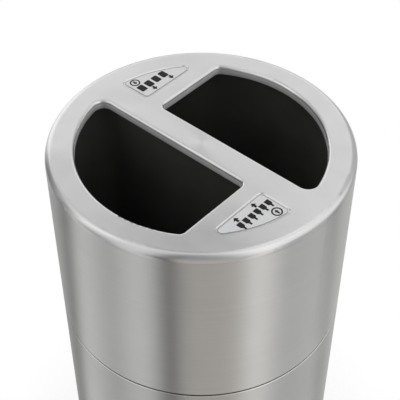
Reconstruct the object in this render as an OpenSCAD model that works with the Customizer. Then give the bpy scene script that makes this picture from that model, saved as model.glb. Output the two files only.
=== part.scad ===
// Round recycling bin for two streams: a lift-off steel hood over two D-shaped plastic liners.
// Origin at the middle of the floor, +Z up, +X along the bridge between the two openings.

/* [Body] */
// Outer diameter of the hood and base
bin_d = 508; // [470:1:560]
// Height from the floor to the deck
bin_h = 864; // [800:1:940]
// Height of the lift-off hood, from the deck to its lower edge
hood_h = 343; // [300:1:380]
// Thickness of the steel sheet
sheet_t = 1.2; // [1:0.1:1.5]
// Height of the folded hems on the sleeves
hem_h = 12; // [8:1:16]
// Gap inside the fold of a hem
fold_gap = 0.4; // [0.3:0.1:0.6]
// Radius on the outer edge of a hem
hem_edge_r = 1.2; // [0.8:0.1:1.4]
// Direction of the rolled sheets' upright seams, from +X
seam_angle = 135; // [90:1:180]

/* [Deck] */
// Radius of the rolled outer rim
rim_r = 12; // [6:0.5:14]
// Straight skirt below the rolled rim
skirt_h = 2; // [1.5:0.5:6]
// Width of the bridge between the openings' flanges
bridge_w = 51; // [44:0.5:56]
// Width of the deck outside the openings
ring_w = 47.5; // [40:0.5:54]
// Distance from the middle to the square end of each opening, as a share of the opening's radius
square_share = 0.552; // [0.5:0.002:0.6]
// Corner radius at the square end of an opening
square_corner_r = 12; // [8:0.5:16]
// Corner radius where an opening's arc meets the bridge
bridge_corner_r = 18; // [12:0.5:24]
// Radius over which the deck rolls down into an opening
lip_r = 5; // [3:0.5:6]
// Depth of the turned-down flange, from the deck
flange_h = 15.5; // [12:0.5:24]

/* [Labels] */
// Distance from an opening's square end to the label recess
recess_gap = 31.5; // [24:0.5:34]
// Distance from the middle line to the label recess
recess_side = 25.5; // [20:0.5:30]
// Distance from the deck's edge to the label recess's arc
recess_edge = 44.5; // [42:0.5:50]
// Corner radius of the label recess
recess_corner_r = 9; // [6:0.5:12]
// Depth of the label recess
recess_depth = 1.2; // [0.9:0.1:2]
// Width of the recess's sloped side
recess_slope = 1.6; // [1:0.1:2.5]
// Distance from the label to the recess's side
label_inset = 2.5; // [1.5:0.1:4]
// Thickness of the label plate
label_t = 0.7; // [0.4:0.1:0.8]

/* [Hood joints] */
// Height of the ring that joins the deck to the hood's sleeve
joint_ring_h = 22; // [16:1:30]
// Gap between the deck's skirt and the sleeve
joint_gap = 0.2; // [0.1:0.1:0.6]
// Thickness of the rings and straps inside
ring_t = 1.5; // [1.2:0.1:2]
// Gap of a welded joint
weld_gap = 0.1; // [0.05:0.05:0.2]
// Width of the straps behind the upright seams
strap_w = 30; // [20:1:40]
// Width of the upright seams
seam_w = 0.6; // [0.4:0.1:1]
// Distance from a strap's end to what lies beyond it
strap_gap = 4; // [2:0.5:8]

/* [Seat of the hood] */
// Clearance between the hood's hem and the locating ring
locating_clear = 0.5; // [0.4:0.1:1]
// Height of the locating ring above the seat
locating_above = 30; // [20:1:40]
// Height of the locating ring below the seat
locating_below = 28; // [20:1:40]
// Height of the ring's tapered lead-in
lead_h = 9; // [6:1:14]
// How far the lead-in leans inwards
lead_in = 3; // [1:0.5:5]
// Thickness of the black strip between hood and base
gasket_t = 1.8; // [1.4:0.1:2.6]

/* [Base] */
// Height of the base sleeve's lower edge above the floor
floor_gap = 12; // [8:1:16]
// Height of the pan's top above the floor
pan_top = 40; // [36:1:50]
// Thickness of the pan
pan_t = 1.5; // [1.2:0.1:2]
// Bend radius at the pan's edge
pan_bend_r = 4; // [3:0.5:6]
// Thickness of the edge trim
trim_t = 1.6; // [1.2:0.1:2.4]
// Height of the edge trim's outer leg
trim_h = 14; // [10:1:18]
// Height of the edge trim's inner leg
trim_inner_h = 9; // [6:1:11]

/* [Liner rail] */
// Width of the rail's top
rail_top_w = 40; // [30:1:42]
// Width of each of the rail's flanges
rail_flange_w = 13; // [11:0.5:14]
// Height of the rail
rail_h = 24; // [16:1:30]
// Distance from the rail's ends to the outside of the base
rail_inset = 64; // [54:1:90]
// Distance from the outer rivets to the rail's ends
rivet_inset = 40; // [20:1:60]
// Shank diameter of the rivets
rivet_d = 4; // [3.2:0.2:4.8]
// Head diameter of the rivets
rivet_head_d = 7.6; // [6.8:0.2:8]
// Head height of the rivets
rivet_head_h = 1.8; // [1.2:0.2:2.2]

/* [Feet] */
// Distance from the middle of a foot to the outside of the base
foot_inset = 30; // [28:0.5:48]
// Diameter of a foot at the floor
foot_d = 44; // [36:1:48]
// Diameter of a foot at the pan
foot_top_d = 38; // [30:1:42]
// Edge chamfer of a foot
foot_edge = 2.5; // [1:0.5:4]
// Diameter of the pocket under a foot
pocket_d = 18; // [16:0.5:22]
// Depth of the pocket under a foot
pocket_h = 14; // [10:0.5:18]
// Thread diameter of the foot screws
screw_d = 6; // [5:0.5:6.5]
// Head diameter of the foot screws
screw_head_d = 12; // [10:0.5:14]
// Head height of the foot screws
screw_head_h = 3.4; // [2.4:0.2:4.4]
// Width of the nuts across their corners
nut_d = 11.5; // [10.5:0.5:13]
// Height of the nuts
nut_h = 5; // [4:0.5:6]
// Clearance around a shank
shank_clear = 0.15; // [0.1:0.05:0.4]

/* [Liners] */
// Gap from the liner rims to the hood's hem
liner_clear = 12; // [10:0.5:20]
// Gap between the rims of the two liners
liner_gap = 8; // [4:0.5:12]
// How far the deck's flanges reach into the liners
flange_reach = 6; // [3:0.5:10]
// Wall thickness of the liners
liner_t = 3; // [2.5:0.1:4]
// Corner radius of the liners in plan
liner_corner_r = 45; // [44:1:60]
// How far the liner walls lean in from top to bottom
liner_taper = 18; // [12:1:20]
// Width of the rolled liner rim
liner_rim_w = 6; // [5:0.5:9]
// Height of the rim's turned-down lip
liner_lip_h = 12; // [8:1:18]
// Thickness of the turned-down lip
liner_lip_t = 2.5; // [2:0.1:3]
// Radius around the liner's bottom
liner_foot_r = 14; // [10:0.5:15]
// Width of the foot ring under a liner
liner_foot_w = 8; // [7:0.5:8.5]
// Height of the hollow under a liner
liner_kick = 4; // [2:0.5:5]
// Edge radius of the rim
liner_edge = 1.2; // [0.8:0.1:1.4]

/* [Hidden] */
$fn = 96;

// Overrun of every cut, and the shortest length that counts as a line
over = 1;
least = 0.01;
// Overlap of flat sheets that are joined into one
lap = 2;
// Reach of a cutting outline past the circle it trims, and points on a small rounding
reach_share = 1.6;
round_steps = 5;
// Half a turn, and the steps to which angles and the fine part of a move are rounded
half_turn = 180;
fine_angle = 0.001;
fine_step = 0.00001;

// The four feet stand between the liners' corners
foot_count = 4;
function foot_angle(i) = (i + 1 / 2) * 360 / foot_count;
// Upset ends of the rivets, as shares of their heads
tail_width_share = 0.84;
tail_height_share = 0.8;

body_r = bin_d / 2;
hem_w = 2 * sheet_t + fold_gap;
inside_r = body_r - sheet_t - weld_gap;
seat_z = bin_h - hood_h;
joint_z = bin_h - rim_r - skirt_h;
base_top = seat_z - gasket_t;
locating_r = body_r - hem_w - locating_clear;

opening_r = body_r - ring_w;
square_end = opening_r * square_share;
opening = cut_disc(-square_end, bridge_w / 2, opening_r, square_corner_r, bridge_corner_r);
recess = cut_disc(square_end + recess_gap, recess_side, body_r - recess_edge, recess_corner_r, recess_corner_r);

pan_under = pan_top - pan_t;
foot_place = body_r - foot_inset;
rail_l = 2 * (body_r - rail_inset);
rivet_pitch = rail_l / 2 - rivet_inset;
foot_bore = screw_d / 2 + shank_clear;
rivet_bore = rivet_d / 2 + shank_clear / 2;
rail_rivet_y = (rail_top_w + rail_flange_w) / 2;
rivet_tail_h = rivet_head_h * tail_height_share;
rivet_tail_r = rivet_head_d / 2 * tail_width_share;

liner_h = bin_h - flange_h + flange_reach - pan_top;
liner_wall_r = body_r - hem_w - liner_clear - liner_rim_w;
liner_flat_y = liner_gap / 2 + liner_rim_w;
liner_path = half_disc(liner_flat_y, liner_wall_r, liner_corner_r);
liner_floor_g = -(liner_taper + liner_foot_r + liner_foot_w);

satin_steel = "#c9cacb";
brushed_steel = "#a9a7a3";
zinc = "#b4b8bb";
rubber_black = "#1d1d1e";
liner_black = "#161617";
label_grey = "#dcdddd";

// Outlines are lists of arcs, each [centre, radius, first angle, last angle], in the order of travel
// with the inside on the left. Tangent lines join arcs that don't meet. Growing an outline by g adds g
// to each radius and keeps the centres.
function dir(a) = [cos(a), sin(a)];
function arc_point(arc, a, g = 0) = arc[0] + (arc[1] + g) * dir(a);
function before(path, i) = path[(i + len(path) - 1) % len(path)];
function gap_before(path, i) =
    norm(arc_point(path[i], path[i][2]) - arc_point(before(path, i), before(path, i)[3]));

// Angle at which a corner arc inside a disc of radius r touches it, when it also touches a line at
// distance d, and the corner's radius that goes with that angle once it is rounded
function touch_angle(r, d, corner_r) = round(asin((d + corner_r) / (r - corner_r)) / fine_angle) * fine_angle;
function touch_radius(r, d, a) = (r * sin(a) - d) / (1 + sin(a));

// The part of a disc of radius r right of x0 and above y0, with rounded corners
function cut_disc(x0, y0, r, square_r, low_r) =
    let (low_a = touch_angle(r, y0, low_r), low = touch_radius(r, y0, low_a))
    let (rise_a = touch_angle(r, x0, square_r), rise = touch_radius(r, x0, rise_a))
    [
        [[x0 + square_r, y0 + square_r], square_r, half_turn, half_turn * 3 / 2],
        [(r - low) * dir(low_a), low, -half_turn / 2, low_a],
        [[0, 0], r, low_a, half_turn / 2 - rise_a],
        [(r - rise) * dir(half_turn / 2 - rise_a), rise, half_turn / 2 - rise_a, half_turn]
    ];

// The part of a disc of radius r above y0, with rounded corners
function half_disc(y0, r, corner_r) =
    let (a = touch_angle(r, y0, corner_r), corner = touch_radius(r, y0, a))
    [
        [(r - corner) * dir(a), corner, -half_turn / 2, a],
        [[0, 0], r, a, half_turn - a],
        [(r - corner) * dir(half_turn - a), corner, half_turn - a, half_turn * 3 / 2]
    ];

// A move in whole, fine and finest steps, so that no digits are lost when each number is rounded
module place(v) {
    whole = [for (x = v) round(x)];
    fine = [for (x = v - whole) round(x / fine_step) * fine_step];
    translate(whole) translate(fine) translate(v - whole - fine) children();
}

// The flat area inside an outline grown by g
module area(path, g = 0) {
    polygon([
        for (i = [0 : len(path) - 1], k = [2, 3])
            if (k == 3 || gap_before(path, i) > least) arc_point(path[i], path[i][k], g)
    ]);
    for (arc = path) {
        mid = (arc[2] + arc[3]) / 2;
        far = arc[1] * (reach_share - 1) + g;
        intersection() {
            translate(arc[0]) circle(arc[1] + g);
            polygon([
                arc_point(arc, arc[2], g), arc_point(arc, arc[2], far), arc_point(arc, mid, far),
                arc_point(arc, arc[3], far), arc_point(arc, arc[3], g)
            ]);
        }
    }
}

// A profile carried round an outline: its x is the distance outwards, its y is the height
module carry(path) {
    for (i = [0 : len(path) - 1]) {
        arc = path[i];
        from = before(path, i);
        length = gap_before(path, i);
        place(arc[0]) rotate_extrude(angle = arc[3] - arc[2], start = arc[2])
            place([arc[1], 0]) children();
        if (length > least) difference() {
            place(arc_point(arc, arc[2])) rotate([90, 0, arc[2]])
                linear_extrude(ceil(length) + over) children();
            place(arc_point(from, from[3])) rotate(arc[2]) translate([-bin_d, -3 * over, -bin_h])
                cube([2 * bin_d, 3 * over, 2 * bin_h]);
        }
    }
}

// A quarter of a ring's section, in the quadrant between angle turn and turn + 90
module quarter_ring(r, t, turn) {
    rotate(turn) intersection() {
        difference() {
            circle(r);
            circle(r - t);
        }
        square(r);
    }
}

// The deck's edge rolled down into an opening
module lip_section() {
    translate([lip_r, -sheet_t]) square([lap, sheet_t]);
    translate([lip_r, -lip_r]) quarter_ring(lip_r, sheet_t, 90);
    translate([0, -flange_h]) square([sheet_t, flange_h - lip_r]);
}

module recess_section() {
    low = -recess_depth - sheet_t;
    polygon([
        [recess_slope + lap, 0], [recess_slope, 0], [0, -recess_depth], [-lap, -recess_depth],
        [-lap, low], [0, low], [recess_slope, -sheet_t], [recess_slope + lap, -sheet_t]
    ]);
}

module rim_section() {
    translate([body_r - rim_r, -rim_r]) quarter_ring(rim_r, sheet_t, 0);
    translate([body_r - sheet_t, -rim_r - skirt_h]) square([sheet_t, skirt_h]);
}

module deck() {
    color(satin_steel) translate([0, 0, bin_h]) {
        translate([0, 0, -sheet_t]) linear_extrude(sheet_t) difference() {
            circle(body_r - rim_r);
            for (turn = [0, 180]) rotate(turn) {
                area(opening, lip_r + lap / 2);
                mirror([0, 1]) area(recess, recess_slope + lap / 2);
            }
        }
        rotate_extrude() rim_section();
        for (turn = [0, 180]) rotate(turn) {
            carry(opening) lip_section();
            mirror([0, 1, 0]) {
                carry(recess) recess_section();
                translate([0, 0, -recess_depth - sheet_t]) linear_extrude(sheet_t)
                    area(recess, -lap / 2);
            }
        }
    }
}

// A label lies on the floor of its recess
module label(turn) {
    color(label_grey) rotate(turn) mirror([0, 1, 0]) translate([0, 0, bin_h - recess_depth]) {
        carry(recess) translate([-label_inset - lap, 0]) square([lap, label_t]);
        linear_extrude(label_t) area(recess, -label_inset - lap / 2);
    }
}

// Section of a hem with its rounded edge at the height zero
module hem_section() {
    flat_r = body_r - hem_edge_r;
    translate([body_r - hem_w, 0]) square([hem_w - hem_edge_r, hem_h]);
    translate([flat_r, hem_edge_r]) square([hem_edge_r, hem_h - hem_edge_r]);
    translate([flat_r, hem_edge_r]) quarter_ring(hem_edge_r, hem_edge_r, -90);
}

// A rolled sheet with a butted upright seam, and hems where they are asked for
module sleeve(low, high, low_hem, high_hem) {
    wall_low = low + (low_hem ? hem_h : 0);
    wall_high = high - (high_hem ? hem_h : 0);
    difference() {
        rotate_extrude() {
            translate([body_r - sheet_t, wall_low]) square([sheet_t, wall_high - wall_low]);
            if (low_hem) translate([0, low]) hem_section();
            if (high_hem) translate([0, high]) mirror([0, 1]) hem_section();
        }
        rotate(seam_angle) translate([body_r - hem_w - over, -seam_w / 2, low - over])
            cube([hem_w + 2 * over, seam_w, high - low + 2 * over]);
    }
}

module inner_ring(low, high, t) {
    rotate_extrude() translate([inside_r - t, low]) square([t, high - low]);
}

module seam_strap(low, high) {
    span = 2 * asin(strap_w / 2 / inside_r);
    rotate(seam_angle - span / 2) rotate_extrude(angle = span)
        translate([inside_r - ring_t, low]) square([ring_t, high - low]);
}

module hood_sleeve() {
    color(brushed_steel) sleeve(seat_z, joint_z - joint_gap, true, false);
}

module hood_joint_ring() {
    color(zinc) inner_ring(bin_h - rim_r - joint_ring_h, bin_h - rim_r, ring_t);
}

module hood_seam_strap() {
    color(zinc) seam_strap(seat_z + hem_h + strap_gap, bin_h - rim_r - joint_ring_h - strap_gap);
}

module base_sleeve() {
    color(brushed_steel) sleeve(floor_gap, base_top, true, true);
}

module base_seam_strap() {
    color(zinc) seam_strap(pan_top + strap_gap, base_top - max(hem_h, locating_below) - strap_gap);
}

// The ring stands inside the base's upper hem and centres the hood
module locating_ring() {
    low = base_top - locating_below;
    bend = seat_z + locating_above - lead_h;
    high = seat_z + locating_above;
    color(zinc) rotate_extrude() polygon([
        [locating_r - ring_t, low], [locating_r, low], [locating_r, bend], [locating_r - lead_in, high],
        [locating_r - lead_in - ring_t, high], [locating_r - ring_t, bend]
    ]);
}

module seat_gasket() {
    inner = locating_r + locating_clear / 2;
    color(rubber_black) translate([0, 0, base_top]) rotate_extrude()
        translate([inner, 0]) square([body_r - hem_edge_r - inner, gasket_t]);
}

// Places of the feet
module at_feet() {
    for (i = [0 : foot_count - 1]) rotate(foot_angle(i)) translate([foot_place, 0, 0]) children();
}

// Places of the rail's rivets
module at_rivets() {
    for (x = [-rivet_pitch, 0, rivet_pitch], y = [-rail_rivet_y, rail_rivet_y])
        translate([x, y, pan_top]) children();
}

// The pan stands with its turned-down edge on the base's lower hem
module base_pan() {
    edge_low = floor_gap + hem_h;
    color(zinc) difference() {
        rotate_extrude() {
            translate([0, pan_under]) square([inside_r - pan_bend_r, pan_t]);
            translate([inside_r - pan_bend_r, pan_top - pan_bend_r]) quarter_ring(pan_bend_r, pan_t, 0);
            translate([inside_r - pan_t, edge_low]) square([pan_t, pan_top - pan_bend_r - edge_low]);
        }
        at_feet() translate([0, 0, pan_under - over]) cylinder(h = pan_t + 2 * over, r = foot_bore);
        at_rivets() translate([0, 0, -pan_t - over]) cylinder(h = pan_t + 2 * over, r = rivet_bore);
    }
}

// A hat channel that keeps the two liners apart
module liner_rail() {
    top = rail_top_w / 2;
    edge = top + rail_flange_w;
    color(zinc) difference() {
        translate([-rail_l / 2, 0, pan_top]) rotate([90, 0, 90]) linear_extrude(rail_l) polygon([
            [-edge, 0], [-top + pan_t, 0], [-top + pan_t, rail_h - pan_t], [top - pan_t, rail_h - pan_t],
            [top - pan_t, 0], [edge, 0], [edge, pan_t], [top, pan_t], [top, rail_h], [-top, rail_h],
            [-top, pan_t], [-edge, pan_t]
        ]);
        at_rivets() translate([0, 0, -over]) cylinder(h = pan_t + 2 * over, r = rivet_bore);
    }
}

module rail_rivets() {
    color(zinc) at_rivets() {
        translate([0, 0, pan_t]) cylinder(h = rivet_head_h, r1 = rivet_head_d / 2, r2 = rivet_d / 2);
        translate([0, 0, -pan_t]) cylinder(h = 2 * pan_t, r = rivet_d / 2);
        translate([0, 0, -pan_t - rivet_tail_h]) cylinder(h = rivet_tail_h, r1 = rivet_d / 2, r2 = rivet_tail_r);
    }
}

// A channel of black vinyl pushed over the base's lower edge
module base_trim() {
    inner = body_r - hem_w - weld_gap - trim_t;
    outer = body_r + weld_gap;
    low = floor_gap - trim_t;
    color(rubber_black) rotate_extrude() polygon([
        [inner, low], [outer + trim_t, low], [outer + trim_t, low + trim_h], [outer, low + trim_h],
        [outer, floor_gap], [inner + trim_t, floor_gap], [inner + trim_t, low + trim_inner_h],
        [inner, low + trim_inner_h]
    ]);
}

module foot(i) {
    base = foot_d / 2;
    top = foot_top_d / 2;
    color(rubber_black) rotate(foot_angle(i)) translate([foot_place, 0, 0])
        rotate_extrude() polygon([
            [foot_bore, pan_under], [foot_bore, pocket_h], [pocket_d / 2, pocket_h], [pocket_d / 2, 0],
            [base - foot_edge, 0], [base, foot_edge], [top, pan_under]
        ]);
}

module foot_screws() {
    color(zinc) at_feet() {
        translate([0, 0, pan_top])
            cylinder(h = screw_head_h, r1 = screw_head_d / 2, r2 = screw_head_d / 2 - screw_head_h / 2);
        translate([0, 0, pocket_h - nut_h]) cylinder(h = pan_top - pocket_h + nut_h, r = screw_d / 2);
    }
}

module foot_nuts() {
    color(zinc) at_feet() translate([0, 0, pocket_h - nut_h]) difference() {
        cylinder(h = nut_h, r = nut_d / 2, $fn = 6);
        translate([0, 0, -over]) cylinder(h = nut_h + 2 * over, r = screw_d / 2 + shank_clear);
    }
}

function quarter(c, r) =
    [for (i = [0 : round_steps]) c + r * dir(i * 90 / round_steps - 90)];
function backwards(points) = [for (i = [len(points) - 1 : -1 : 0]) points[i]];

// Section of a liner's wall, from its hollow foot to its rolled rim
module liner_section() {
    foot_c = [-liner_taper - liner_foot_r, liner_foot_r];
    polygon(concat(
        [[liner_floor_g - lap, liner_kick], [liner_floor_g, liner_kick], [liner_floor_g + liner_kick, 0]],
        quarter(foot_c, liner_foot_r),
        [
            [0, liner_h - liner_t], [liner_rim_w - liner_lip_t, liner_h - liner_t], [liner_rim_w - liner_lip_t, liner_h - liner_lip_h],
            [liner_rim_w, liner_h - liner_lip_h], [liner_rim_w, liner_h - liner_edge],
            [liner_rim_w - liner_edge, liner_h], [liner_edge - liner_t, liner_h], [-liner_t, liner_h - liner_edge]
        ],
        backwards(quarter(foot_c, liner_foot_r - liner_t)),
        [
            [liner_floor_g + liner_kick, liner_t], [liner_floor_g, liner_kick + liner_t],
            [liner_floor_g - lap, liner_kick + liner_t]
        ]
    ));
}

module liner(turn) {
    color(liner_black) rotate(turn) translate([0, 0, pan_top]) {
        carry(liner_path) liner_section();
        translate([0, 0, liner_kick]) linear_extrude(liner_t)
            area(liner_path, liner_floor_g - lap / 2);
    }
}

deck();
label(180);  // label_cans
label(0);  // label_bottles
hood_sleeve();
hood_joint_ring();
hood_seam_strap();
base_sleeve();
base_seam_strap();
locating_ring();
seat_gasket();
base_pan();
liner_rail();
rail_rivets();
base_trim();
foot(0);  // foot_1
foot(1);  // foot_2
foot(2);  // foot_3
foot(3);  // foot_4
foot_screws();
foot_nuts();
liner(0);  // liner_cans
liner(180);  // liner_bottles
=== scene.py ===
"""Looks of the double recycling bin: metal, plastic and rubber, plates with pictograms, light and camera."""

import math

import bmesh
import bpy
from mathutils import Matrix, Vector

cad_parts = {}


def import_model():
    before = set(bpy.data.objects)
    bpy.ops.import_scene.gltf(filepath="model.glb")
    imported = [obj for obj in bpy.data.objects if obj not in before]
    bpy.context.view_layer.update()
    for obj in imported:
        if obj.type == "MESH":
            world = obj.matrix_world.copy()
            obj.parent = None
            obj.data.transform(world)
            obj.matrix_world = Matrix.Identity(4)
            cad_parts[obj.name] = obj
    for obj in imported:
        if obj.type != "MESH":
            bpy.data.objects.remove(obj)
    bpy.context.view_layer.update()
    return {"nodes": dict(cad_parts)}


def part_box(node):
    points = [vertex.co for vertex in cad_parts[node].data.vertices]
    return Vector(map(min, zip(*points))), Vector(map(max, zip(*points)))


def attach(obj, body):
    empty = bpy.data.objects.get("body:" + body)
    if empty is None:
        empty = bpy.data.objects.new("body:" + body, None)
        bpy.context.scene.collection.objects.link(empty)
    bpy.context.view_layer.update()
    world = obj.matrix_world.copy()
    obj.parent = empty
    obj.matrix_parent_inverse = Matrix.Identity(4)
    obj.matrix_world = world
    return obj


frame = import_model()
nodes = frame["nodes"]

MM = 0.001
BODY_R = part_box("hood_sleeve")[1].x
DECK_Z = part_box("deck")[1].z
SEAT_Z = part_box("hood_sleeve")[0].z

# Camera of the photograph, fitted to the bin's edges. Lens and sensor are in millimetres, distances in
# metres. The aim says how far right of and above the picture's middle the deck's middle lies.
LENS = 91.182
SENSOR = 36
PITCH = math.radians(44.242)
AZIMUTH = math.radians(41.571)
ROLL = math.radians(-0.013)
CAMERA_DISTANCE = 1.6462
AIM_RIGHT = 0.0019
AIM_UP = 0.0934
CLIP_END = 50

# Two soft boxes around the deck's middle, in degrees, metres and watts. Their angles are from the camera's
# side, positive to the right.
LAMP_ELEVATION = 50
LAMP_DISTANCE = 2.4
LAMP_SIZE = (1.2, 1.4)
LAMP_POWER = 0.8
LAMP_TARGET = (0, 0, 0.8)
RIGHT_LAMP_ANGLE = 60
LEFT_LAMP_ANGLE = -70


# Node helpers

def new_material(name):
    material = bpy.data.materials.new(name)
    material.use_nodes = True
    tree = material.node_tree
    shader = tree.nodes["Principled BSDF"]
    return material, tree, shader


def add(tree, kind, **settings):
    node = tree.nodes.new(kind)
    for key, value in settings.items():
        setattr(node, key, value)
    return node


def feed(tree, socket, value):
    """Sets a socket to a number, or links another socket to it."""
    if isinstance(value, (int, float)):
        socket.default_value = value
    else:
        tree.links.new(value, socket)


def math_node(tree, operation, *values):
    """A math node on sockets or numbers; returns its result."""
    node = add(tree, "ShaderNodeMath", operation=operation)
    for socket, value in zip(node.inputs, values):
        feed(tree, socket, value)
    return node.outputs[0]


def vector_of(tree, x, y, z):
    node = add(tree, "ShaderNodeCombineXYZ")
    for socket, value in zip(node.inputs, (x, y, z)):
        feed(tree, socket, value)
    return node.outputs[0]


def place_of(tree):
    """The point on the part, in metres, as one vector and as x, y and z."""
    place = add(tree, "ShaderNodeTexCoord").outputs["Object"]
    split = add(tree, "ShaderNodeSeparateXYZ")
    tree.links.new(place, split.inputs[0])
    return place, split.outputs[0], split.outputs[1], split.outputs[2]


def radius_of(tree, x, y):
    """Distance from the bin's axis."""
    squares = math_node(tree, "ADD", math_node(tree, "MULTIPLY", x, x), math_node(tree, "MULTIPLY", y, y))
    return math_node(tree, "SQRT", squares)


def noise(tree, vector, scale, detail=2.0, roughness=0.5):
    node = add(tree, "ShaderNodeTexNoise")
    tree.links.new(vector, node.inputs["Vector"])
    node.inputs["Scale"].default_value = scale
    node.inputs["Detail"].default_value = detail
    node.inputs["Roughness"].default_value = roughness
    return node.outputs["Fac"]


def spread(tree, value, low, high, from_low=0.0, from_high=1.0, interpolation="LINEAR"):
    """Maps a value from one range to another."""
    node = add(tree, "ShaderNodeMapRange", interpolation_type=interpolation)
    tree.links.new(value, node.inputs["Value"])
    for key, number in (("From Min", from_low), ("From Max", from_high), ("To Min", low), ("To Max", high)):
        node.inputs[key].default_value = number
    return node.outputs["Result"]


def blended(tree, level, other, share):
    """A level that goes over to another as the share goes from zero to one. Each is a socket or a number."""
    node = add(tree, "ShaderNodeMix", data_type="FLOAT", clamp_factor=True)
    for socket, value in zip((node.inputs[0], node.inputs[2], node.inputs[3]), (share, level, other)):
        feed(tree, socket, value)
    return node.outputs[0]


def tinted(tree, colour, factor):
    """A colour made lighter or darker by a factor that varies over the surface."""
    node = add(tree, "ShaderNodeVectorMath", operation="SCALE")
    node.inputs[0].default_value = colour
    tree.links.new(factor, node.inputs["Scale"])
    return node.outputs["Vector"]


def coloured(tree, shader, colour, shade, rough):
    """Gives a shader its colour, times a shade, and its roughness."""
    tree.links.new(tinted(tree, colour, shade), shader.inputs["Base Color"])
    tree.links.new(rough, shader.inputs["Roughness"])


def bumped(tree, shader, height, distance):
    node = add(tree, "ShaderNodeBump")
    node.inputs["Strength"].default_value = 1.0
    node.inputs["Distance"].default_value = distance
    tree.links.new(height, node.inputs["Height"])
    tree.links.new(node.outputs["Normal"], shader.inputs["Normal"])


# Materials

# Most values of one noise texture, and of the sum of two
NOISE_RANGE = (0.3, 0.7)
TWO_NOISES_RANGE = (0.6, 1.4)
# How often the wide brush lines repeat, as a share of the fine ones
WIDE_LINE_RATE = 0.12
# Distances over which the look of a flange fades in, inwards and downwards
FLANGE_FADE_INWARDS = 8 * MM
FLANGE_FADE_DOWNWARDS = 3 * MM


def round_brushed(name, colour, roughness, anisotropy, line_width, depth, contrast,
                  flange=None, painted_seam_light=None, waves=0.0):
    """Metal brushed around the bin's axis. The lines have a width, a depth in the bump, and a contrast in
    shade and roughness. A flange is dull, and its colour is lightened towards its top as painted light: it is
    the radius that it lies inside, the heights of its top and bottom, its dullness and its painted lift. The
    painted seam light is a factor on the colour that goes from one value to another between two heights:
    painted shade where it is below one, a painted highlight where it is above one. Waves is the depth of soft
    unevenness in the sheet."""
    material, tree, shader = new_material(name)
    place, x, y, z = place_of(tree)
    radius = radius_of(tree, x, y)
    across = math_node(tree, "SUBTRACT", radius, z)
    fine_across = math_node(tree, "MULTIPLY", across, 1 / line_width)
    wide_across = math_node(tree, "MULTIPLY", across, WIDE_LINE_RATE / line_width)
    lines = noise(tree, vector_of(tree, fine_across, x, y), 1.0, 3.0, 0.6)
    wide_lines = noise(tree, vector_of(tree, wide_across, x, y), 1.0)
    patches = noise(tree, place, 5.0, 3.0)
    smears = noise(tree, place, 22.0, 4.0, 0.65)
    grain = math_node(tree, "ADD", lines, wide_lines)
    line_shade = spread(tree, grain, 1 - contrast, 1 + contrast, *TWO_NOISES_RANGE)
    shade = math_node(tree, "ADD", line_shade, spread(tree, patches, -0.02, 0.02, *NOISE_RANGE))
    line_rough = spread(tree, lines, roughness - contrast, roughness + contrast, *NOISE_RANGE)
    rough = math_node(tree, "ADD", line_rough, spread(tree, smears, -0.025, 0.025, *NOISE_RANGE))
    if flange:
        reach, top, bottom, dullness, painted_lift = flange
        within = spread(tree, radius, 1.0, 0.0, reach, reach + FLANGE_FADE_INWARDS)
        below = spread(tree, z, 1.0, 0.0, top - FLANGE_FADE_DOWNWARDS, top)
        inside = math_node(tree, "MULTIPLY", within, below)
        rough = math_node(tree, "MULTIPLY_ADD", inside, dullness, rough)
        # Painted light: the flange's colour is lifted more towards its top, standing in for the light it
        # catches below the lip
        shade = math_node(tree, "MULTIPLY_ADD", inside, spread(tree, z, 0.0, painted_lift, bottom, top), shade)
    # Painted seam light: a factor on the colour over a band of heights, painting shade where it is below one
    # and a highlight where it is above one
    if painted_seam_light:
        shade = math_node(tree, "MULTIPLY", shade, spread(tree, z, *painted_seam_light))
    coloured(tree, shader, colour, shade, rough)
    shader.inputs["Metallic"].default_value = 1.0
    shader.inputs["Anisotropic"].default_value = anisotropy
    shader.inputs["Anisotropic Rotation"].default_value = 0.25
    tangent = add(tree, "ShaderNodeTangent", direction_type="RADIAL", axis="Z")
    tree.links.new(tangent.outputs[0], shader.inputs["Tangent"])
    uneven = noise(tree, place, 11.0, 1.0)
    bumped(tree, shader, math_node(tree, "MULTIPLY_ADD", uneven, waves / depth, lines), depth)
    return material


def galvanised(name, colour, roughness):
    """Dull zinc with soft crystals in it."""
    material, tree, shader = new_material(name)
    place = place_of(tree)[0]
    crystals = add(tree, "ShaderNodeTexVoronoi")
    crystals.inputs["Scale"].default_value = 90.0
    tree.links.new(place, crystals.inputs["Vector"])
    grey = add(tree, "ShaderNodeSeparateColor")
    tree.links.new(crystals.outputs["Color"], grey.inputs[0])
    stains = noise(tree, place, 9.0, 4.0)
    shade = math_node(tree, "ADD", spread(tree, grey.outputs[0], 0.9, 1.06),
                      spread(tree, stains, -0.06, 0.06, *NOISE_RANGE))
    rough = spread(tree, grey.outputs[1], roughness - 0.07, roughness + 0.07)
    coloured(tree, shader, colour, shade, rough)
    shader.inputs["Metallic"].default_value = 1.0
    bumped(tree, shader, noise(tree, place, 400.0), 0.02 * MM)
    return material


def moulded(name, colour, roughness, grain_scale, grain_depth, specular):
    """Plastic or rubber with a fine moulded grain and slightly uneven gloss."""
    material, tree, shader = new_material(name)
    place = place_of(tree)[0]
    uneven = noise(tree, place, 14.0, 3.0)
    shade = spread(tree, uneven, 0.85, 1.15, *NOISE_RANGE)
    rough = spread(tree, uneven, roughness - 0.05, roughness + 0.05, *NOISE_RANGE)
    coloured(tree, shader, colour, shade, rough)
    shader.inputs["Specular IOR Level"].default_value = specular
    bumped(tree, shader, noise(tree, place, grain_scale), grain_depth)
    return material


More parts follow.
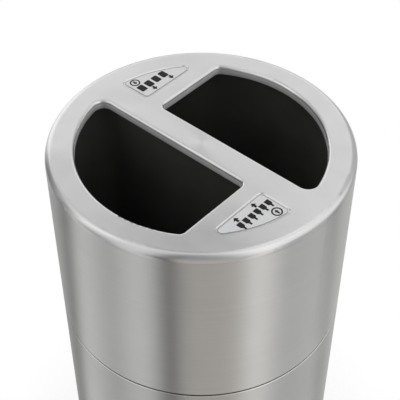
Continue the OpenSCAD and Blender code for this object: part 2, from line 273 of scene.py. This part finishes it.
def label_plate(name):
    """Light satin foil with a faint sparkle."""
    material, tree, shader = new_material(name)
    place = place_of(tree)[0]
    sparkle = noise(tree, place, 900.0, 1.0)
    cloud = noise(tree, place, 30.0, 3.0)
    shade = math_node(tree, "ADD", spread(tree, sparkle, 0.95, 1.05, *NOISE_RANGE),
                      spread(tree, cloud, -0.02, 0.02, *NOISE_RANGE))
    rough = spread(tree, cloud, 0.4, 0.5, *NOISE_RANGE)
    coloured(tree, shader, (0.61, 0.615, 0.625), shade, rough)
    shader.inputs["Metallic"].default_value = 0.35
    bumped(tree, shader, sparkle, 0.01 * MM)
    return material


def black_print_and_edge_shade(name):
    """Matt black ink, used for the prints and for the painted shade line along the plates' edges."""
    material, tree, shader = new_material(name)
    cloud = noise(tree, place_of(tree)[0], 300.0)
    shade = spread(tree, cloud, 0.8, 1.2)
    rough = spread(tree, cloud, 0.5, 0.6)
    coloured(tree, shader, (0.012, 0.012, 0.012), shade, rough)
    shader.inputs["Specular IOR Level"].default_value = 0.15
    return material


def dress(names, material):
    for name in names:
        slots = nodes[name].material_slots
        if not slots:
            nodes[name].data.materials.append(material)
        for material_slot in slots:
            material_slot.material = material


def dress_all():
    """Gives every CAD node its finish."""
    # The deck's flanges get painted light: their colour is lifted by up to 0.75 towards their tops
    deck = round_brushed("deck_satin_steel", (0.6, 0.6, 0.605), roughness=0.3, anisotropy=0.55,
                         line_width=1.8 * MM, depth=0.003 * MM, contrast=0.01,
                         flange=(BODY_R - 34 * MM, DECK_Z - 3 * MM, DECK_Z - 16 * MM, 0.25, 0.75),
                         waves=1 * MM)
    # The hood's wall is painted nearly black up to 2.1 mm above the seam, fading out by 3.4 mm: painted shade
    # along the seam
    hood_wall = round_brushed("hood_brushed_steel", (0.585, 0.584, 0.578), roughness=0.38, anisotropy=0.9,
                              line_width=0.9 * MM, depth=0.008 * MM, contrast=0.03,
                              painted_seam_light=(0.08, 1.0, SEAT_Z + 2.1 * MM, SEAT_Z + 3.4 * MM))
    # The base's wall is painted a third lighter from 2.5 mm below the seam, fading out by 5 mm: a painted
    # highlight on its top edge
    base_wall = round_brushed("base_brushed_steel", (0.55, 0.549, 0.544), roughness=0.37, anisotropy=0.9,
                              line_width=0.9 * MM, depth=0.008 * MM, contrast=0.03,
                              painted_seam_light=(1.0, 1.35, SEAT_Z - 5 * MM, SEAT_Z - 2.5 * MM))
    zinc = galvanised("galvanised_steel", (0.5, 0.52, 0.53), 0.42)
    plated = galvanised("zinc_plated", (0.58, 0.6, 0.62), 0.3)
    rubber = moulded("black_rubber", (0.022, 0.022, 0.022), roughness=0.7, grain_scale=900.0,
                     grain_depth=0.03 * MM, specular=0.3)
    plastic = moulded("liner_plastic", (0.058, 0.057, 0.055), roughness=0.48, grain_scale=700.0,
                      grain_depth=0.025 * MM, specular=0.4)
    dress(["deck"], deck)
    dress(["hood_sleeve"], hood_wall)
    dress(["base_sleeve"], base_wall)
    dress(["hood_joint_ring", "hood_seam_strap", "base_seam_strap"], zinc)
    dress(["locating_ring", "base_pan", "liner_rail"], zinc)
    dress(["rail_rivets", "foot_screws", "foot_nuts"], plated)
    dress(["seat_gasket", "base_trim", "foot_1", "foot_2", "foot_3", "foot_4"], rubber)
    dress(["liner_cans", "liner_bottles"], plastic)
    dress(["label_cans", "label_bottles"], label_plate("label_foil"))


# Pictograms on the plates, in millimetres. Each outline has its foot at the origin and its top towards +y,
# but an arrow has its tip there and a ring its middle. Places are the distance out from the bin's middle line
# and the distance along it.
FOOT_LINE = 162.8
ARROW_TIP_LINE = 150.6
ARROWS_ALONG = (55.5, 97.0)
RING_AT = (191.0, 42.5)
RING_ARROW_DROP = 4.9
BOTTLES_ALONG = tuple(36.0 + 13.0 * i for i in range(6))
CANS_ALONG = tuple(40.0 + 17.5 * i for i in range(4))
FILM = 0.12
# Width of the painted shade line along each plate's edge
PAINTED_EDGE_SHADE_WIDTH = 0.45
MERGE_DISTANCE = 0.001
TOP_TOLERANCE = 0.01


def arc(cx, cy, r, first, last, steps):
    """Points on an arc, angles in degrees."""
    turns = [math.radians(first + (last - first) * i / steps) for i in range(steps + 1)]
    return [(cx + r * math.cos(t), cy + r * math.sin(t)) for t in turns]


def can_outline(width=13.0, height=17.0, neck=1.6, shoulder=2.0):
    half = width / 2
    return [(neck - half, 0), (half - neck, 0), (half, shoulder), (half, height - shoulder),
            (half - neck, height), (neck - half, height), (-half, height - shoulder), (-half, shoulder)]


def bottle_outline(width=9.4, height=17.0, neck_width=3.6, neck_height=4.6):
    half = width / 2
    neck = neck_width / 2
    rise = half - neck
    shoulder = height - neck_height
    right = [(half, 0), (half, shoulder - rise), (neck, shoulder), (neck, height)]
    return right + [(-x, y) for x, y in reversed(right)]


def arrow_outline(width=11.2, length=10.8, shaft=4.4, head=6.0):
    """An arrow that points down, with its tip at the origin."""
    half = width / 2
    stem = shaft / 2
    return [(0, 0), (half, head), (stem, head), (stem, length), (-stem, length), (-stem, head), (-half, head)]


def ring_outline(r=9.2, thickness=2.5, end=359.9, steps=40):
    """A ring, cut open by a hairline so that it is one outline."""
    return arc(0, 0, r, 0, end, steps) + arc(0, 0, r - thickness, end, 0, steps)


def painted_edge_shade(mesh, plate, top):
    """Fills a mesh with a thin dark line along the edge of a plate's top face: painted shade at the plate's
    edge.
    """
    mesh.from_mesh(plate.data)
    mesh.transform(plate.matrix_world)
    bmesh.ops.remove_doubles(mesh, verts=mesh.verts[:], dist=MERGE_DISTANCE * MM)
    below = [f for f in mesh.faces if min(v.co.z for v in f.verts) < top - TOP_TOLERANCE * MM]
    bmesh.ops.delete(mesh, geom=below, context="FACES")
    whole = bmesh.ops.dissolve_faces(mesh, faces=mesh.faces[:])["region"]
    inset = bmesh.ops.inset_region(mesh, faces=whole, thickness=PAINTED_EDGE_SHADE_WIDTH * MM, use_boundary=True,
                                   use_even_offset=True)
    line = set(inset["faces"])
    bmesh.ops.delete(mesh, geom=[f for f in mesh.faces if f not in line], context="FACES")


def plate_prints_and_edge_shade(name, body, outline, row, turn, ink):
    """Black on one plate: a thin line along its edge, which is painted shade, and prints: a row of icons, two
    arrows towards the opening and a ring with an arrow."""
    prints = [(outline, FOOT_LINE, along) for along in row]
    for along in ARROWS_ALONG:
        prints.append((arrow_outline(), ARROW_TIP_LINE, along))
    prints.append((ring_outline(), *RING_AT))
    prints.append((arrow_outline(7.6, 9.8, 3.4, 5.0), RING_AT[0] - RING_ARROW_DROP, RING_AT[1]))

    plate_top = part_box("label_" + name)[1].z
    film_top = plate_top + FILM * MM
    mesh = bmesh.new()
    # A dark line along the plate's edge: painted shade
    painted_edge_shade(mesh, nodes["label_" + name], plate_top)
    for corner in mesh.verts:
        corner.co.z = film_top
    for shape, out, along in prints:
        places = [(turn * (out + y) * MM, turn * -(along + x) * MM, film_top) for x, y in shape]
        mesh.faces.new([mesh.verts.new(place) for place in places])
    bmesh.ops.recalc_face_normals(mesh, faces=mesh.faces)
    for face in mesh.faces:
        if face.normal.z < 0:
            face.normal_flip()
    skirts = bmesh.ops.extrude_face_region(mesh, geom=mesh.faces[:])
    sunk = [v for v in skirts["geom"] if isinstance(v, bmesh.types.BMVert)]
    bmesh.ops.translate(mesh, verts=sunk, vec=(0, 0, plate_top - film_top))
    bmesh.ops.recalc_face_normals(mesh, faces=mesh.faces)
    data = bpy.data.meshes.new(name + "_pictograms")
    mesh.to_mesh(data)
    mesh.free()
    piece = bpy.data.objects.new(name + "_pictograms", data)
    bpy.context.scene.collection.objects.link(piece)
    data.materials.append(ink)
    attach(piece, body)


# Stage: the floor's radius, the distances from the axis over which it fades out, and how much of it is white
# to the camera
FLOOR_R = 0.5
FLOOR_FADE = (0.26, 0.45)
FLOOR_WHITE_SHARE = 0.84
FLOOR_COLOUR = (0.82, 0.82, 0.82)


def floor():
    """A plain pale floor that keeps the bin's soft shadow and thins out into the white world."""
    mesh = bmesh.new()
    bmesh.ops.create_circle(mesh, cap_ends=True, radius=FLOOR_R, segments=96)
    data = bpy.data.meshes.new("floor")
    mesh.to_mesh(data)
    mesh.free()
    piece = bpy.data.objects.new("floor", data)
    bpy.context.scene.collection.objects.link(piece)

    material, tree, shader = new_material("floor_pale")
    place, x, y, _ = place_of(tree)
    shade = spread(tree, noise(tree, place, 3.0), 0.99, 1.01)
    tree.links.new(tinted(tree, FLOOR_COLOUR, shade), shader.inputs["Base Color"])
    shader.inputs["Roughness"].default_value = 0.9
    shader.inputs["Specular IOR Level"].default_value = 0.1
    glow = add(tree, "ShaderNodeEmission")
    glow.inputs["Strength"].default_value = 1.0
    paths = add(tree, "ShaderNodeLightPath")
    seen = math_node(tree, "MULTIPLY", paths.outputs["Is Camera Ray"], FLOOR_WHITE_SHARE)
    mix = add(tree, "ShaderNodeMixShader")
    tree.links.new(seen, mix.inputs[0])
    tree.links.new(shader.outputs[0], mix.inputs[1])
    tree.links.new(glow.outputs[0], mix.inputs[2])
    clear = add(tree, "ShaderNodeBsdfTransparent")
    fade = spread(tree, radius_of(tree, x, y), 0.0, 1.0, *FLOOR_FADE, interpolation="SMOOTHSTEP")
    edge = add(tree, "ShaderNodeMixShader")
    tree.links.new(fade, edge.inputs[0])
    tree.links.new(mix.outputs[0], edge.inputs[1])
    tree.links.new(clear.outputs[0], edge.inputs[2])
    tree.links.new(edge.outputs[0], tree.nodes["Material Output"].inputs["Surface"])
    data.materials.append(material)


# The studio around the bin, as directions from the camera's side, positive to the right: panels that are
# lighter or darker than its walls. Each is centre, half width and softness in degrees, and the change of
# level below and above the horizon. Heights are on the unit sphere.
LOW_LEVEL = 0.56
HIGH_LEVEL = 1.0
HORIZON = (0.0, 0.15)
PANELS = (
    (-23.5, 5.5, 3, -0.56, 0.0),
    (-23, 9, 4, 0.0, -0.34),
    (-47, 11, 6, 0.34, 0.0),
    (-64, 8, 5, -0.13, 0.0),
    (-96, 9, 5, 0.55, 0.0),
    (-62, 12, 6, 0.0, -0.15),
    (-92, 13, 6, 0.0, 0.42),
    (-152, 12, 5, 0.1, 0.0),
    (-1, 23, 6, 0.06, -0.58),
    (42, 10, 5, 0.6, 0.3),
    (90, 45, 15, 0.0, 0.22),
    (98, 13, 6, 0.18, 0.0),
    (150, 13, 6, 0.25, 0.0),
)
# The box behind the bin, which the deck mirrors: heights and levels, the band that it fills, and the heights
# over which it starts. High up, it reaches over the bin: the heights and the distances beyond the axis, on
# the unit sphere, over which that part starts.
BACK_BOX = ((0.15, 1.0), (0.3, 1.42), (0.63, 1.42), (0.72, 0.95), (1.0, 0.87))
BACK_BAND = (180, 55, 25)
BACK_START = (0.15, 0.3)
OVERHEAD_START = (0.85, 0.93)
OVERHEAD_BEYOND = (-0.1, 0.2)
# Soft boxes and dark flags in front of all that: centre, half width and softness in degrees, the heights
# between which each rises and falls, and its level
FLAGS = (
    (181, 9, 6, (0.64, 0.7), (0.88, 0.94), 0.1),
    (-158, 9, 6, (0.6, 0.7), (0.88, 0.94), 0.7),
    (147, 17, 6, (0.76, 0.82), (0.93, 0.98), 1.55),
    (-119, 10, 3, (-0.4, -0.25), (0.15, 0.3), 0.22),
    (-124, 13, 4, (0.1, 0.2), (0.6, 0.68), 0.3),
    (-149, 13, 3, (-0.25, -0.1), (0.5, 0.6), 1.5),
    (-146, 14, 5, (0.52, 0.62), (0.76, 0.84), 0.8),
    (137, 20, 6, (-0.35, -0.2), (0.62, 0.7), 0.62),
    (-119, 7, 4, (-0.85, -0.78), (-0.62, -0.55), 0.02),
    (-101, 6, 4, (-0.62, -0.55), (-0.2, -0.1), 0.02),
    (114, 6, 4, (-0.85, -0.78), (-0.62, -0.55), 0.25),
    (98, 6, 4, (-0.62, -0.55), (-0.2, -0.1), 0.25),
    (-98, 8, 2.5, (-0.15, -0.05), (0.45, 0.6), 0.3),
)
# Warm tint of the light from below: the band that it fills, the heights over which it ends, and the colours
WARM_BAND = (8, 36, 20)
WARM_END = (-0.1, 0.1)
WARM_COLOUR = (1.0, 0.955, 0.885, 1)
PLAIN_COLOUR = (1.0, 1.0, 0.995, 1)


def smooth_band(tree, angle, centre, half_width, soft):
    """One inside a band of directions around the bin, zero outside, with soft sides. Angles in degrees, the
    centre from the camera's side."""
    middle = (math.degrees(AZIMUTH) - 90 + centre + 180) % 360 - 180
    away = math_node(tree, "ABSOLUTE", math_node(tree, "SUBTRACT", angle, middle))
    turned = math_node(tree, "MINIMUM", away, math_node(tree, "SUBTRACT", 360.0, away))
    return spread(tree, turned, 0.0, 1.0, half_width + soft, half_width - soft, "SMOOTHSTEP")


def studio_level(tree, x, y, z, angle):
    """The studio's level of light in each direction."""
    low, high = LOW_LEVEL, HIGH_LEVEL
    for centre, half_width, soft, low_change, high_change in PANELS:
        band = smooth_band(tree, angle, centre, half_width, soft)
        low = math_node(tree, "MULTIPLY_ADD", band, low_change, low)
        high = math_node(tree, "MULTIPLY_ADD", band, high_change, high)
    level = blended(tree, low, high, spread(tree, z, 0.0, 1.0, *HORIZON))
    box = BACK_BOX[0][1]
    for (start, _), (end, other) in zip(BACK_BOX, BACK_BOX[1:]):
        box = blended(tree, box, other, spread(tree, z, 0.0, 1.0, start, end))
    beyond = math_node(tree, "MULTIPLY_ADD", y, math.cos(AZIMUTH),
                       math_node(tree, "MULTIPLY", x, -math.sin(AZIMUTH)))
    behind = math_node(tree, "MULTIPLY", smooth_band(tree, angle, *BACK_BAND),
                       spread(tree, z, 0.0, 1.0, *BACK_START))
    overhead = math_node(tree, "MULTIPLY", spread(tree, z, 0.0, 1.0, *OVERHEAD_START),
                         spread(tree, beyond, 0.0, 1.0, *OVERHEAD_BEYOND))
    level = blended(tree, level, box, math_node(tree, "MAXIMUM", behind, overhead))
    for centre, half_width, soft, rise, fall, other in FLAGS:
        band = smooth_band(tree, angle, centre, half_width, soft)
        band = math_node(tree, "MULTIPLY", band, spread(tree, z, 0.0, 1.0, *rise))
        band = math_node(tree, "MULTIPLY", band, spread(tree, z, 1.0, 0.0, *fall))
        level = blended(tree, level, other, band)
    return level


def world():
    """White to the camera; to everything else a soft studio."""
    scene_world = bpy.data.worlds.new("studio")
    bpy.context.scene.world = scene_world
    scene_world.use_nodes = True
    tree = scene_world.node_tree
    tree.nodes.clear()
    direction = add(tree, "ShaderNodeTexCoord").outputs["Generated"]
    split = add(tree, "ShaderNodeSeparateXYZ")
    tree.links.new(direction, split.inputs[0])
    x, y, z = split.outputs
    angle = math_node(tree, "MULTIPLY", math_node(tree, "ARCTAN2", y, x), 180 / math.pi)

    studio = add(tree, "ShaderNodeBackground")
    tree.links.new(studio_level(tree, x, y, z, angle), studio.inputs["Strength"])
    warm = math_node(tree, "MULTIPLY", smooth_band(tree, angle, *WARM_BAND),
                     spread(tree, z, 1.0, 0.0, *WARM_END))
    tint = add(tree, "ShaderNodeMix", data_type="RGBA")
    tree.links.new(warm, tint.inputs[0])
    tint.inputs[6].default_value = PLAIN_COLOUR
    tint.inputs[7].default_value = WARM_COLOUR
    tree.links.new(tint.outputs[2], studio.inputs["Color"])
    white = add(tree, "ShaderNodeBackground")
    white.inputs["Color"].default_value = (1, 1, 1, 1)
    paths = add(tree, "ShaderNodeLightPath")
    mix = add(tree, "ShaderNodeMixShader")
    tree.links.new(paths.outputs["Is Camera Ray"], mix.inputs[0])
    tree.links.new(studio.outputs[0], mix.inputs[1])
    tree.links.new(white.outputs[0], mix.inputs[2])
    output = add(tree, "ShaderNodeOutputWorld")
    tree.links.new(mix.outputs[0], output.inputs[0])


def from_camera_side(angle, elevation, distance):
    """A place around the deck's middle: angle to the right of the camera's side, and elevation, in degrees."""
    turn = AZIMUTH - math.pi / 2 + math.radians(angle)
    rise = math.radians(elevation)
    level = math.cos(rise)
    direction = Vector((math.cos(turn) * level, math.sin(turn) * level, math.sin(rise)))
    return direction * distance + Vector((0, 0, DECK_Z))


def lamp(name, angle):
    """A soft box, at an angle to the right of the camera's side."""
    place = from_camera_side(angle, LAMP_ELEVATION, LAMP_DISTANCE)
    data = bpy.data.lights.new(name, "AREA")
    data.shape = "RECTANGLE"
    data.size, data.size_y = LAMP_SIZE
    data.energy = LAMP_POWER
    light = bpy.data.objects.new(name, data)
    light.location = place
    light.rotation_euler = (Vector(LAMP_TARGET) - place).to_track_quat("-Z", "Y").to_euler()
    bpy.context.scene.collection.objects.link(light)


def camera():
    toward = Vector((-math.sin(AZIMUTH), math.cos(AZIMUTH), 0))
    look = toward * math.cos(PITCH) - Vector((0, 0, math.sin(PITCH)))
    level_right = toward.cross(Vector((0, 0, 1)))
    level_up = level_right.cross(look)
    right = level_right * math.cos(ROLL) + level_up * math.sin(ROLL)
    up = level_up * math.cos(ROLL) - level_right * math.sin(ROLL)
    place = Vector((0, 0, DECK_Z)) - look * CAMERA_DISTANCE - right * AIM_RIGHT - up * AIM_UP
    data = bpy.data.cameras.new("camera")
    data.sensor_width = SENSOR
    data.lens = LENS
    data.clip_end = CLIP_END
    eye = bpy.data.objects.new("camera", data)
    eye.matrix_world = Matrix((right, up, -look)).transposed().to_4x4()
    eye.location = place
    bpy.context.scene.collection.objects.link(eye)
    bpy.context.scene.camera = eye


dress_all()
black_ink_and_edge_shade = black_print_and_edge_shade("pictogram_print_and_edge_shade")
plate_prints_and_edge_shade("bottles", "hood", bottle_outline(), BOTTLES_ALONG, 1, black_ink_and_edge_shade)
plate_prints_and_edge_shade("cans", "hood", can_outline(), CANS_ALONG, -1, black_ink_and_edge_shade)
floor()
world()
lamp("right_box", RIGHT_LAMP_ANGLE)
lamp("left_box", LEFT_LAMP_ANGLE)
camera()
bpy.context.scene.view_settings.view_transform = "Standard"
